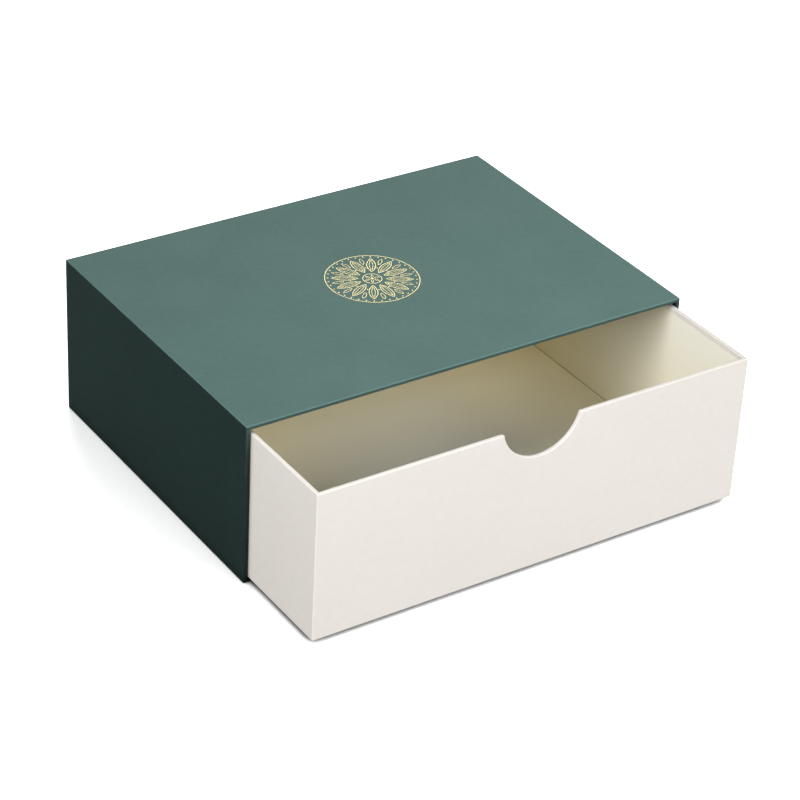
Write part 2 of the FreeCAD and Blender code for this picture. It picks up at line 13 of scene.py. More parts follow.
import bmesh
import bpy
from bpy.props import FloatProperty, FloatVectorProperty, IntProperty, PointerProperty
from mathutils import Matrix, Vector

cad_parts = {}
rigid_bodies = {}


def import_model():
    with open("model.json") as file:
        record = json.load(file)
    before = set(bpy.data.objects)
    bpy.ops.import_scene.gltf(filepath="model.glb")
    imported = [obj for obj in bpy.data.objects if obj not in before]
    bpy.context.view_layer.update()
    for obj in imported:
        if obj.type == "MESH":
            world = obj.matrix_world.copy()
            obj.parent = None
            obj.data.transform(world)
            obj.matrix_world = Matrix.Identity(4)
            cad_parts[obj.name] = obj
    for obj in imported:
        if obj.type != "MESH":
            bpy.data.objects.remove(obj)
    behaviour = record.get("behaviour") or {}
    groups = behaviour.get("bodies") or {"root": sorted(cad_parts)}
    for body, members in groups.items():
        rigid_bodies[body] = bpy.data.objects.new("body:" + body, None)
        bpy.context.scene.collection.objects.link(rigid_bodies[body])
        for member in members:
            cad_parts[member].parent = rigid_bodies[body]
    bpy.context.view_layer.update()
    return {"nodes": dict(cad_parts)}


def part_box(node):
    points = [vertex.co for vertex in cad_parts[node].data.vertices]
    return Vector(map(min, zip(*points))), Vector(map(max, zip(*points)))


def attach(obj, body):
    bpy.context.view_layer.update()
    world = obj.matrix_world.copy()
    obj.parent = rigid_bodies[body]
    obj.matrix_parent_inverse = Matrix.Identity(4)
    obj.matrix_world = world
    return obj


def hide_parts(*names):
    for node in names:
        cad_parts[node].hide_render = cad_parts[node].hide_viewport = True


bl_info = {
    "name": "Sliding Drawer Gift Box",
    "version": (1, 0, 0),
    "blender": (4, 5, 0),
    "location": "3D View > Sidebar > Gift Box",
    "description": "Papers, board, foil and stage for a sliding drawer gift box",
    "category": "Object",
}

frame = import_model()
NODES = frame["nodes"]

X, Y, Z = 0, 1, 2
MM = 0.001
TOUCH = 0.01 * MM  # points nearer than this to a plane lie on it
HAIR = 0.001 * MM  # mirrored points nearer than this are one
SLEEVE_LOW, SLEEVE_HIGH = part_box("sleeve_wrap")
MOUTH_LOW, MOUTH_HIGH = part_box("sleeve_liner")
TRAY_LOW, TRAY_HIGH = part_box("tray_wrap")
WELL_LOW, WELL_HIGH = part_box("tray_wall_liner")
FOIL_LOW, FOIL_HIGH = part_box("foil_rosette")
SLEEVE_WALL = MOUTH_LOW.x - SLEEVE_LOW.x
TRAY_WALL = WELL_LOW.x - TRAY_LOW.x


def linear(hex_code):
    """An sRGB hex colour as a linear RGBA tuple."""
    channels = [int(hex_code[i : i + 2], 16) / 255 for i in (1, 3, 5)]
    return tuple(
        c / 12.92 if c <= 0.04045 else ((c + 0.055) / 1.055) ** 2.4 for c in channels
    ) + (1.0,)


def length(name, description, millimetres):
    """A length property, given in millimetres and kept in the scene's metres."""
    return FloatProperty(
        name=name,
        description=description,
        default=millimetres * MM,
        min=0.0,
        precision=5,
        subtype="DISTANCE",
        unit="LENGTH",
    )


def colour(name, description, hex_code):
    """A colour property, given as sRGB hex."""
    return FloatVectorProperty(
        name=name,
        description=description,
        default=linear(hex_code),
        size=4,
        min=0.0,
        max=1.0,
        subtype="COLOR",
    )


WHITE, BLACK = linear("#FFFFFF"), linear("#000000")

# ---------------------------------------------------------------- settings


class GiftBoxPapers(bpy.types.PropertyGroup):
    """Sizes of the papers and their folds."""

    wrap_paper: length("Wrap paper", "Thickness of the covering paper", 0.2)
    liner_paper: length("Liner paper", "Thickness of the lining paper", 0.12)
    fold_round: length("Fold round", "Radius of the paper where it folds over board", 0.5)
    mouth_turn_in: length("Mouth turn-in", "Depth of green paper inside the sleeve's mouth", 16)
    back_turn_in: length("Back turn-in", "Width of green paper turned over the back", 15)
    base_turn_in: length("Base turn-in", "Width of cream paper turned under the tray", 15)
    rim_turn_in: length("Rim turn-in", "Depth of cream paper inside the tray's rim", 28)
    notch_width: length("Notch width", "Width of the thumb notch at the rim", 40)
    notch_depth: length("Notch depth", "Depth of the thumb notch below the rim", 16)
    notch_corner: length("Notch corner", "Radius where the notch meets the rim", 1.2)
    liner_reveal: length("Liner reveal", "Wrap left showing between notch and liner", 2.5)
    liner_corner: length("Liner corner", "Radius of the lining in the tray's corners", 0.8)


class GiftBoxFoil(bpy.types.PropertyGroup):
    """Sizes of the stamped flower."""

    petals: IntProperty(name="Petals", description="Petals round the flower", default=12, min=3)
    line: length("Line", "Width of a foil line", 0.34)
    fine_line: length("Fine line", "Width of the lines of veins, buds and seeds", 0.24)
    border_radius: length("Border radius", "Outer radius of the ring round the flower", 22.1)
    petal_start: length("Petal start", "Reach of a petal's inner tip", 6.2)
    petal_end: length("Petal end", "Reach of a petal's outer tip", 19.2)
    petal_bulge: length("Petal bulge", "Half the width of a petal", 2.2)
    vein_inset: length("Vein inset", "From a petal's tip to its vein's", 1.088)
    vein_bulge: length("Vein bulge", "Half the width of a vein", 0.924)
    bud_start: length("Bud start", "Reach of a bud's inner tip", 13.4)
    bud_end: length("Bud end", "Reach of a bud's outer tip", 19.6)
    bud_bulge: length("Bud bulge", "Half the width of a bud", 0.95)
    bead_reach: length("Bead reach", "Reach of the outer beads", 20.6)
    inner_bead_reach: length("Inner bead reach", "Reach of the beads between petals", 10.4)
    bead_radius: length("Bead radius", "Radius of a bead", 0.36)
    eye_radius: length("Eye radius", "Radius of the ring round the eye", 4.6)
    heart_radius: length("Heart radius", "Radius of the dot in the middle", 0.6)


class GiftBoxColours(bpy.types.PropertyGroup):
    """Colours of the stock, and the painted tones of light and shade on it."""

    green: colour("Green paper", "Dyed paper round the sleeve", "#485F5C")
    green_dark: colour("Green paper, dark", "Hollows of the dyed paper's felt", "#425956")
    # Partly wear, partly a painted highlight: the paler tone along the lid's folds
    green_worn: colour("Green paper, worn", "Dyed paper rubbed pale along a fold", "#6E8D88")
    green_sheen: colour("Green sheen", "Glow of the dyed paper's fibre ends", "#D4E7D1")
    green_liner: colour("Green liner", "Lining of the sleeve", "#425652")
    green_liner_dark: colour("Green liner, dark", "Hollows of that lining", "#3D514D")
    cream: colour("Cream paper", "Paper round the tray", "#EDE8E2")
    cream_dark: colour("Cream paper, dark", "Hollows of the cream paper", "#E9E4DD")
    ivory: colour("Ivory liner", "Lining of the tray", "#F5F3EA")
    ivory_dark: colour("Ivory liner, dark", "Hollows of that lining", "#F2F0E6")
    # Painted light: a yellow tone of bounced light and shade, painted where the well closes in
    ivory_deep: colour("Ivory liner, deep", "Its tone where the well closes in", "#FFF3CB")
    greyboard: colour("Greyboard", "Recycled board under the papers", "#8E8578")
    greyboard_dark: colour("Greyboard, dark", "Denser patches of the board", "#7C7366")
    greyboard_fleck: colour("Greyboard fleck", "Printed fibres in the board", "#4E463D")
    tape: colour("Stay tape", "Brown kraft tape round the corners", "#A8845A")
    tape_dark: colour("Stay tape, dark", "Denser patches of the kraft", "#97744C")
    gold: colour("Gold foil", "Pale gold of the stamping", "#B0A67C")
    gold_rubbed: colour("Gold foil, rubbed", "The foil where it took less well", "#A2976A")


class GiftBoxStage(bpy.types.PropertyGroup):
    """Camera, floor and the light from all round."""

    camera_place: FloatVectorProperty(
        name="Camera place",
        description="Where the camera stands",
        default=(-0.60606, -0.90448, 0.68629),
        subtype="TRANSLATION",
        unit="LENGTH",
    )
    camera_turn: FloatVectorProperty(
        name="Camera turn",
        description="Euler angles of the camera",
        default=tuple(math.radians(a) for a in (58.3213, -2.6458, -33.0196)),
        subtype="EULER",
        unit="ROTATION",
    )
    camera_lens: FloatProperty(
        name="Camera lens",
        description="Focal length on a 36 mm sensor, in millimetres",
        default=122.05,
        unit="CAMERA",
    )
    floor_reach: length("Floor reach", "Half the width of the floor", 4000)
    floor_grey: colour("Floor grey", "The floor's tone in the light it bounces", "#929290")
    floor_lift: FloatProperty(
        name="Floor lift",
        description="Light of its own that brings the seen floor up to white",
        default=0.48,
        min=0.0,
    )
    sky_strength: FloatProperty(
        name="Sky strength",
        description="Strength of the even light from all round",
        default=0.12,
        min=0.0,
    )
    window_blue: colour("Window blue", "Tint of the faint window light", "#32D9FF")


# ---------------------------------------------------------------- modelling by hand


def deselect():
    """Leave nothing selected."""
    if bpy.context.object and bpy.context.object.mode != "OBJECT":
        bpy.ops.object.mode_set(mode="OBJECT")
    bpy.ops.object.select_all(action="DESELECT")


def choose(*pieces):
    """Select these pieces only; the first is the active one."""
    deselect()
    for piece in pieces:
        piece.select_set(True)
    bpy.context.view_layer.objects.active = pieces[0]


def named(name):
    """Name the primitive just added, and its mesh."""
    piece = bpy.context.active_object
    piece.name = name
    piece.data.name = name
    return piece


def settle():
    """Put the active piece's place, turn and size into its mesh."""
    bpy.ops.object.transform_apply(location=True, rotation=True, scale=True)


def block(name, low, high):
    """A block between two corners, with its place in its mesh."""
    deselect()
    bpy.ops.mesh.primitive_cube_add(size=1, location=(low + high) / 2, scale=high - low)
    settle()
    return named(name)


def edit(piece):
    """Go into edit mode on this piece."""
    choose(piece)
    bpy.ops.object.mode_set(mode="EDIT")


def leave_edit():
    """Go back to object mode."""
    bpy.ops.object.mode_set(mode="OBJECT")


def pick(kind, test):
    """In edit mode, select the faces or edges that pass the test, and nothing else."""
    bpy.ops.mesh.select_mode(type=kind)
    bpy.ops.mesh.select_all(action="DESELECT")
    mesh = bpy.context.object.data
    shape = bmesh.from_edit_mesh(mesh)
    shape.normal_update()
    parts = shape.faces if kind == "FACE" else shape.edges
    chosen = [part for part in parts if test(part)]
    if not chosen:
        raise RuntimeError(f"{bpy.context.object.name}: nothing passes the test")
    for part in chosen:
        part.select_set(True)
    bmesh.update_edit_mesh(mesh)


def facing(axis, sign, at=None):
    """A test for faces that look along an axis, at a place on it if one is given."""

    def test(face):
        looks = face.normal[axis] * sign > 0.99
        return looks and (at is None or abs(face.calc_center_median()[axis] - at) < TOUCH)

    return test


def on_planes(edge, planes):
    """How many of the (axis, place) planes both ends of the edge lie on."""
    return sum(
        all(abs(vert.co[axis] - at) < TOUCH for vert in edge.verts) for axis, at in planes
    )


def planes(low, high, axes=(X, Y, Z)):
    """The (axis, place) planes of a box between two corners, square to these axes."""
    return [(axis, corner[axis]) for corner in (low, high) for axis in axes]


def within(face, reach):
    """Whether the face stays within a reach either side of the middle, give or take 1 mm."""
    return max(abs(vert.co.x) for vert in face.verts) < reach + MM


def flush(piece, **modifier):
    """Add a modifier, set it and apply it."""
    choose(piece)
    kind = modifier.pop("kind")
    bpy.ops.object.modifier_add(type=kind)
    added = piece.modifiers[-1]
    for name, value in modifier.items():
        setattr(added, name, value)
    bpy.ops.object.modifier_apply(modifier=added.name)


def thicken(piece, thickness):
    """Give a sheet its thickness, inwards from the face that shows."""
    flush(piece, kind="SOLIDIFY", thickness=thickness, offset=-1.0, use_even_offset=True)


def even_normals(piece):
    """Shade the flat faces flat, and leave all the turning to the narrow folds."""
    flush(piece, kind="WEIGHTED_NORMAL", keep_sharp=True, weight=80)


def cut_round(piece, centre, radius, depth):
    """Cut a round notch through a wall that faces Y."""
    deselect()
    bpy.ops.mesh.primitive_cylinder_add(
        vertices=192,
        radius=radius,
        depth=depth,
        location=centre,
        rotation=(math.pi / 2, 0, 0),
    )
    cutter = named("notch_cutter")
    settle()
    flush(piece, kind="BOOLEAN", operation="DIFFERENCE", solver="EXACT", object=cutter)
    bpy.data.objects.remove(cutter)


def dress(piece, material):
    """Give a piece or a node one material."""
    piece.data.materials.clear()
    piece.data.materials.append(material)


def finish_piece(piece, body, material, nodes, angle=35):
    """Put the place into the mesh, shade it, and hang the piece on the frame."""
    choose(piece)
    settle()
    bpy.ops.object.shade_smooth_by_angle(angle=math.radians(angle))
    dress(piece, material)
    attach(piece, body)
    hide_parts(*nodes)


# ---------------------------------------------------------------- materials


def add(tree, kind, inputs, out=None, **settings):
    """Add a shader node and set it up, and return it, or the output that out names.

    A socket given as an input is linked, and any other input is set.
    """
    node = tree.nodes.new("ShaderNode" + kind)
    for name, value in settings.items():
        setattr(node, name, value)
    for name, value in inputs.items():
        if isinstance(value, bpy.types.NodeSocket):
            tree.links.new(value, node.inputs[name])
        else:
            node.inputs[name].default_value = value
    return node if out is None else node.outputs[out]


def made_once(fill):
    """Turn a function that fills a node tree into one that returns its material, made once."""

    @functools.wraps(fill)
    def material():
        made = bpy.data.materials.get(fill.__name__)
        if not made:
            made = bpy.data.materials.new(fill.__name__)
            made.use_nodes = True
            made.node_tree.nodes.clear()
            fill(made.node_tree, bpy.context.scene)
        return made

    return material


def millimetres(tree, stretch=(1, 1, 1)):
    """Object coordinates in millimetres, stretched along an axis where a pattern runs."""
    place = add(tree, "TexCoord", {}, "Object")
    scale = tuple(1 / (MM * s) for s in stretch)
    return add(tree, "Mapping", {"Vector": place, "Scale": scale}, "Vector")


def weighed(tree, *shares):
    """The sum of some patterns, each times its share."""
    total = 0.0
    for pattern, share in shares:
        sockets = {0: pattern, 1: share, 2: total}
        total = add(tree, "Math", sockets, "Value", operation="MULTIPLY_ADD")
    return total


def openness(tree, reach, shut, clear, least=0.0):
    """1 where a surface is open, down to the least where others crowd it within a reach in mm.

    shut and clear are the shares of its view that are free where the fall ends and begins.
    """
    free = add(tree, "AmbientOcclusion", {"Distance": reach * MM}, "AO", samples=8)
    fall = {"Value": free, "From Min": shut, "From Max": clear, "To Min": least}
    return add(tree, "MapRange", fall, "Result")


def shade(tree, shader, factor, tone):
    """Take the shader's colour towards a tone where the factor falls from 1."""
    socket = shader.inputs["Base Color"]
    ground = socket.links[0].from_socket
    tree.links.new(add(tree, "Mix", {0: factor, 6: tone, 7: ground}, 2, data_type="RGBA"), socket)


def fold_wear(tree):
    """1 along the folds of the sleeve's lid, fading over half a millimetre; partly wear, partly a
    painted highlight.
    """
    full, none = 0.1, 0.7  # how far from the fold, in millimetres
    parts = add(tree, "SeparateXYZ", {"Vector": millimetres(tree)}).outputs
    across = add(tree, "Math", {0: parts["X"]}, "Value", operation="ABSOLUTE")
    side, front, top = (
        add(
            tree,
            "MapRange",
            {
                "Value": value,
                "From Min": edge / MM - outward * none,
                "From Max": edge / MM - outward * full,
            },
            "Result",
        )
        for value, edge, outward in (
            (across, SLEEVE_HIGH.x, 1),
            (parts["Y"], SLEEVE_LOW.y, -1),
            (parts["Z"], SLEEVE_HIGH.z, 1),
        )
    )
    either = add(tree, "Math", {0: side, 1: front}, "Value", operation="MAXIMUM")
    return add(tree, "Math", {0: either, 1: top}, "Value", operation="MULTIPLY")


class Stock(NamedTuple):
    """How a paper or board is made: its patterns' grain in millimetres, and its surface."""

    cloud: float  # slow unevenness of the pulp
    mottle: float  # small uneven spots
    tooth: float  # felt mark, drawn coarse enough to show
    roughness: float
    specular: float
    relief: float  # height of the tooth and mottle
    sheen: float = 0.0
    sheen_roughness: float = 0.5
    sheen_tint: tuple = WHITE


def paper_surface(tree, light, dark, stock):
    """Paper: a mottled tone, short fibres and a felt-like relief. Returns its shader node."""
    even = millimetres(tree)
    along_fibres = millimetres(tree, (3.2, 1.0, 1.0))
    cloud, mottle, strands, tooth = (
        add(
            tree,
            "TexNoise",
            {"Vector": place, "Scale": 1 / grain, "Detail": detail, "Roughness": fineness},
            "Fac",
        )
        for place, grain, detail, fineness in (
            (even, stock.cloud, 1, 0.5),
            (even, stock.mottle, 3, 0.6),
            (along_fibres, stock.tooth * 1.6, 2, 0.6),
            (even, stock.tooth, 2, 0.55),
        )
    )
    tone = weighed(tree, (cloud, 0.35), (mottle, 0.4), (strands, 0.25))
    factor = add(tree, "MapRange", {"Value": tone, "From Min": 0.36, "From Max": 0.64}, "Result")
    roughness = {
        "Value": strands,
        "From Min": 0.3,
        "From Max": 0.7,
        "To Min": stock.roughness - 0.04,
        "To Max": stock.roughness + 0.04,
    }
    height = weighed(tree, (mottle, 0.6), (tooth, 0.4))
    relief = {"Strength": 1.0, "Distance": stock.relief * MM, "Height": height}
    shader = add(
        tree,
        "BsdfPrincipled",
        {
            "Base Color": add(tree, "Mix", {0: factor, 6: dark, 7: light}, 2, data_type="RGBA"),
            "Roughness": add(tree, "MapRange", roughness, "Result"),
            "Specular IOR Level": stock.specular,
            "Sheen Weight": stock.sheen,
            "Sheen Roughness": stock.sheen_roughness,
            "Sheen Tint": stock.sheen_tint,
            "Normal": add(tree, "Bump", relief, "Normal"),
        },
    )
    add(tree, "OutputMaterial", {"Surface": shader.outputs["BSDF"]})
    return shader


@made_once
def dyed_cover_paper(tree, scene):
    """Through-dyed green cover paper with a felt mark: deep, matt, paler on the lid's folds (partly
    wear, partly a painted highlight), with painted shade in crevices.
    """
    hues = scene.gift_box_colours
    felt = Stock(
        cloud=38,
        mottle=2.4,
        tooth=0.7,
        roughness=0.72,
        specular=0.03,
        relief=0.05,
        sheen=0.63,
        sheen_roughness=0.35,
        sheen_tint=hues.green_sheen,
    )
    shader = paper_surface(tree, hues.green, hues.green_dark, felt)
    # Paler along the lid's folds: partly wear, partly a painted highlight
    worn_and_lit = {"Value": fold_wear(tree), "To Min": 1.0, "To Max": 0.45}
    shade(tree, shader, add(tree, "MapRange", worn_and_lit, "Result"), hues.green_worn)
    # Painted shade: the colour is darkened towards black where other surfaces crowd it, as on the
    # lip beside the tray
    shade(tree, shader, openness(tree, reach=8, shut=0.45, clear=0.92, least=0.25), BLACK)


@made_once
def dyed_lining_paper(tree, scene):
    """Thin dyed lining paper: the cover's colour, smoother and a little duller."""
    hues = scene.gift_box_colours
    thin = Stock(cloud=45, mottle=3.0, tooth=0.6, roughness=0.85, specular=0.1, relief=0.03)
    paper_surface(tree, hues.green_liner, hues.green_liner_dark, thin)


@made_once
def cream_cover_paper(tree, scene):
    """Smooth uncoated cream paper: matt and soft, with hardly any tooth, and painted shade where
    other surfaces crowd it.
    """
    hues = scene.gift_box_colours
    smooth = Stock(cloud=55, mottle=3.5, tooth=0.6, roughness=0.75, specular=0.12, relief=0.02)
    shader = paper_surface(tree, hues.cream, hues.cream_dark, smooth)
    # Painted shade: the colour is darkened towards black where other surfaces crowd it, as on the
    # tray's wall beside the sleeve's lip
    shade(tree, shader, openness(tree, reach=5, shut=0.35, clear=0.85, least=0.4), BLACK)


@made_once
def ivory_lining_paper(tree, scene):
    """Wove lining paper, warmer than the cover; deep in the well it is painted yellow, a painted
    tone of bounced light and shade.
    """
    hues = scene.gift_box_colours
    wove = Stock(cloud=50, mottle=3.0, tooth=0.6, roughness=0.8, specular=0.12, relief=0.02)
    shader = paper_surface(tree, hues.ivory, hues.ivory_dark, wove)
    # Painted bounce light: the colour turns deep yellow where the well closes in, by how crowded it
    # is, not by the lamps
    shade(tree, shader, openness(tree, reach=90, shut=0.2, clear=0.68), hues.ivory_deep)


@made_once
def recycled_greyboard(tree, scene):
    """Greyboard of recycled fibre: dull grey-brown, flecked with darker fibres."""
    hues = scene.gift_box_colours
    pulp = Stock(cloud=20, mottle=1.6, tooth=0.5, roughness=0.9, specular=0.1, relief=0.06)
    shader = paper_surface(tree, hues.greyboard, hues.greyboard_dark, pulp)
    lengthwise = millimetres(tree, (1.0, 2.6, 1.0))
    fleck_width = 0.9
    pattern = {"Vector": lengthwise, "Scale": 1 / fleck_width, "Detail": 1}
    flecks = add(tree, "TexNoise", pattern, "Fac")
    plain = {"Value": flecks, "From Min": 0.66, "From Max": 0.7, "To Min": 1.0, "To Max": 0.0}
    shade(tree, shader, add(tree, "MapRange", plain, "Result"), hues.greyboard_fleck)


@made_once
def kraft_stay_tape(tree, scene):
    """Kraft stay tape: brown paper with long fibres and a slight machine glaze."""
    hues = scene.gift_box_colours
    kraft = Stock(cloud=18, mottle=1.4, tooth=0.4, roughness=0.6, specular=0.3, relief=0.03)
    paper_surface(tree, hues.tape, hues.tape_dark, kraft)


@made_once
def hot_stamped_foil(tree, scene):
    """Pale gold stamping foil: a thin satin metal pressed into the paper's tooth."""
    hues = scene.gift_box_colours
    even = millimetres(tree)
    tooth, rub = (
        add(tree, "TexNoise", {"Vector": even, "Scale": 1 / grain}, "Fac") for grain in (0.5, 1.8)
    )
    factor = add(tree, "MapRange", {"Value": rub, "From Min": 0.35, "From Max": 0.65}, "Result")
    tint = {0: factor, 6: hues.gold_rubbed, 7: hues.gold}
    satin = {"Value": rub, "From Min": 0.3, "From Max": 0.7, "To Min": 0.42, "To Max": 0.55}
    relief = {"Strength": 0.6, "Distance": 0.03 * MM, "Height": tooth}
    metal = {
        "Base Color": add(tree, "Mix", tint, 2, data_type="RGBA"),
        "Metallic": 1.0,
        "Roughness": add(tree, "MapRange", satin, "Result"),
        "Normal": add(tree, "Bump", relief, "Normal"),
    }
    add(tree, "OutputMaterial", {"Surface": add(tree, "BsdfPrincipled", metal, "BSDF")})


def ray_kinds(tree):
    """Whether a ray comes straight from the eye, and whether off a gloss or through glass."""
    path = add(tree, "LightPath", {}).outputs
    gloss = {0: path["Is Glossy Ray"], 1: path["Is Transmission Ray"]}
    return path["Is Camera Ray"], add(tree, "Math", gloss, "Value", operation="MAXIMUM")


@made_once
def seamless_paper_floor(tree, scene):
    """Paper floor: grey to the bounced light, and white to the eye except in shadow, part cast by
    the lamps and part painted under the object.
    """
    stage = scene.gift_box_stage
    by_eye, by_gloss = ray_kinds(tree)
    paper = add(tree, "BsdfDiffuse", {"Color": stage.floor_grey}, "BSDF")
    lit = add(tree, "BsdfDiffuse", {"Color": WHITE}, "BSDF")
    dark = add(tree, "BsdfDiffuse", {"Color": BLACK}, "BSDF")
    twice = add(tree, "AddShader", {0: lit, 1: lit}, "Shader")
    lift = add(tree, "Emission", {"Strength": stage.floor_lift}, "Emission")
    bright = add(tree, "AddShader", {0: twice, 1: lift}, "Shader")
    white = add(tree, "Emission", {"Color": WHITE, "Strength": 1.0}, "Emission")
    # Painted shadow: the lift fades where the floor runs under the object, and right under it the
    # floor is painted dark, by how crowded it is, not by the lamps
    beside = openness(tree, reach=12, shut=0.15, clear=0.5)
    under = openness(tree, reach=12, shut=0.02, clear=0.46)
    seen = add(tree, "MixShader", {0: beside, 1: lit, 2: bright}, "Shader")
    seen = add(tree, "MixShader", {0: under, 1: dark, 2: seen}, "Shader")
    shown = add(tree, "MixShader", {0: by_eye, 1: paper, 2: seen}, "Shader")
    shown = add(tree, "MixShader", {0: by_gloss, 1: shown, 2: white}, "Shader")
    add(tree, "OutputMaterial", {"Surface": shown})


# ---------------------------------------------------------------- operators


class GIFTBOX_OT_sleeve_wrap(bpy.types.Operator):
    """Model the green paper round the sleeve, in at its mouth and over its back"""

    bl_idname = "giftbox.sleeve_wrap"
    bl_label = "Sleeve Wrap"
    bl_options = {"REGISTER", "UNDO"}

    def execute(self, context):
        papers = context.scene.gift_box_papers
        wrap = block("sleeve_wrap_paper", SLEEVE_LOW, SLEEVE_HIGH)
        edit(wrap)
        front, back = SLEEVE_LOW.y, SLEEVE_HIGH.y
        # The mouth: a lip as wide as the wall, then the turn-in
        pick("FACE", facing(Y, -1, front))
        bpy.ops.mesh.inset(thickness=SLEEVE_WALL, use_even_offset=True)
        bpy.ops.mesh.extrude_region_move(
            TRANSFORM_OT_translate={"value": (0, papers.mouth_turn_in, 0)}
        )
        # The back: a margin turned over the board
        pick("FACE", facing(Y, 1, back))
        bpy.ops.mesh.inset(thickness=papers.back_turn_in, use_even_offset=True)
        # The folds
        outside = planes(SLEEVE_LOW, SLEEVE_HIGH)
        inside = planes(MOUTH_LOW, MOUTH_HIGH, axes=(X, Z))
        pick(
            "EDGE",
            lambda edge: on_planes(edge, outside) == 2
            or (on_planes(edge, [(Y, front)]) and on_planes(edge, inside)),
        )
        bpy.ops.mesh.bevel(offset=papers.fold_round, segments=4, affect="EDGES")
        # Where the turned-in paper ends, the block is open
        turned_in = facing(Y, -1, front + papers.mouth_turn_in)
        on_back = facing(Y, 1, back)
        open_back = SLEEVE_HIGH.x - papers.back_turn_in
        pick("FACE", lambda face: turned_in(face) or (on_back(face) and within(face, open_back)))
        bpy.ops.mesh.delete(type="FACE")
        leave_edit()
        thicken(wrap, papers.wrap_paper)
        finish_piece(wrap, "sleeve", dyed_cover_paper(), ["sleeve_wrap"])
        even_normals(wrap)
        return {"FINISHED"}


class GIFTBOX_OT_tray_wrap(bpy.types.Operator):
    """Model the cream paper round the tray, over its rim and notch and under its base"""

    bl_idname = "giftbox.tray_wrap"
    bl_label = "Tray Wrap"
    bl_options = {"REGISTER", "UNDO"}

    def execute(self, context):
        papers = context.scene.gift_box_papers
        rim = TRAY_HIGH.z
        wrap = block("tray_wrap_paper", TRAY_LOW, TRAY_HIGH)
        edit(wrap)
        # The rim: as wide as the wall, then the turn-in down to the lining
        pick("FACE", facing(Z, 1, rim))
        bpy.ops.mesh.inset(thickness=TRAY_WALL, use_even_offset=True)
        bpy.ops.mesh.extrude_region_move(
            TRANSFORM_OT_translate={"value": (0, 0, -papers.rim_turn_in)}
        )
        # The base: a margin turned under the board
        pick("FACE", facing(Z, -1, TRAY_LOW.z))
        bpy.ops.mesh.inset(thickness=papers.base_turn_in, use_even_offset=True)
        leave_edit()
        # The thumb notch, through the front wall only, with its two corners rounded
        radius = notch_radius(papers)
        middle = Vector((0, TRAY_LOW.y + TRAY_WALL / 2, rim + radius - papers.notch_depth))
        cut_round(wrap, middle, radius, TRAY_WALL * 3)
        edit(wrap)
        half = papers.notch_width / 2
        near_corner = 0.3 * MM

        def across_wall(edge):
            """Whether the edge is a corner of the notch, running through the wall."""
            start, end = (vert.co for vert in edge.verts)
            at_rim = on_planes(edge, [(Z, rim)]) and abs(start.y - end.y) > TRAY_WALL / 2
            return at_rim and all(abs(abs(co.x) - half) < near_corner for co in (start, end))

        pick("EDGE", across_wall)
        bpy.ops.mesh.bevel(offset=papers.notch_corner, segments=5, affect="EDGES")
        # The folds
        outside = planes(TRAY_LOW, TRAY_HIGH)
        rim_inside = planes(WELL_LOW, WELL_HIGH, axes=(X, Y))
        walls = [(Y, TRAY_LOW.y), (Y, WELL_LOW.y)]
        notch_reach = radius + 2 * MM
        sharp = math.radians(46)

        def fold(edge):
            """Whether paper folds here: outside, inside the rim, or on a side of the notch."""
            return (
                on_planes(edge, outside) == 2
                or (on_planes(edge, [(Z, rim)]) and on_planes(edge, rim_inside))
                or (
                    on_planes(edge, walls)
                    and all((vert.co - middle).xz.length < notch_reach for vert in edge.verts)
                    and edge.calc_face_angle(0) > sharp
                )
            )

        pick("EDGE", fold)
        bpy.ops.mesh.bevel(offset=papers.fold_round, segments=4, affect="EDGES")
        # Where two folds meet at the notch's corners their points fall together, and are merged
        bpy.ops.mesh.select_all(action="SELECT")
        bpy.ops.mesh.remove_doubles(threshold=0.02 * MM)
        # The walls round the notch are split up, or their paper's inner side closes over it
        pick("FACE", lambda face: len(face.verts) > 4)
        bpy.ops.mesh.quads_convert_to_tris(quad_method="BEAUTY", ngon_method="BEAUTY")
        # Where the turned-in paper ends, the block is open
        turned_in = facing(Z, 1, rim - papers.rim_turn_in)
        under = facing(Z, -1, TRAY_LOW.z)
        open_base = TRAY_HIGH.x - papers.base_turn_in
        pick("FACE", lambda face: turned_in(face) or (under(face) and within(face, open_base)))
        bpy.ops.mesh.delete(type="FACE")
        leave_edit()
        thicken(wrap, papers.wrap_paper)
        finish_piece(wrap, "tray", cream_cover_paper(), ["tray_wrap"])
        even_normals(wrap)
        return {"FINISHED"}


def notch_radius(papers):
    """Radius of the arc through the notch's two rim corners and its lowest point."""
    half, depth = papers.notch_width / 2, papers.notch_depth
    return (half * half + depth * depth) / (2 * depth)


class GIFTBOX_OT_tray_lining(bpy.types.Operator):
    """Model the strip that lines the tray's walls, and finish the sheet on its floor"""

    bl_idname = "giftbox.tray_lining"
    bl_label = "Tray Lining"
    bl_options = {"REGISTER", "UNDO"}

    def execute(self, context):
        papers = context.scene.gift_box_papers
        liner = block("tray_wall_lining", WELL_LOW, WELL_HIGH)
        edit(liner)
        pick("FACE", lambda face: facing(Z, 1)(face) or facing(Z, -1)(face))
        bpy.ops.mesh.delete(type="ONLY_FACE")
        pick("EDGE", lambda edge: abs(edge.verts[0].co.z - edge.verts[1].co.z) > MM)
        bpy.ops.mesh.bevel(offset=papers.liner_corner, segments=5, affect="EDGES")
        leave_edit()
        thicken(liner, papers.liner_paper)
        radius = notch_radius(papers)
        middle = Vector((0, WELL_LOW.y, TRAY_HIGH.z + radius - papers.notch_depth))
        cut_round(liner, middle, radius + papers.liner_reveal, TRAY_WALL * 3)
        finish_piece(liner, "tray", ivory_lining_paper(), ["tray_wall_liner"])
        dress(NODES["tray_floor_liner"], ivory_lining_paper())
        return {"FINISHED"}


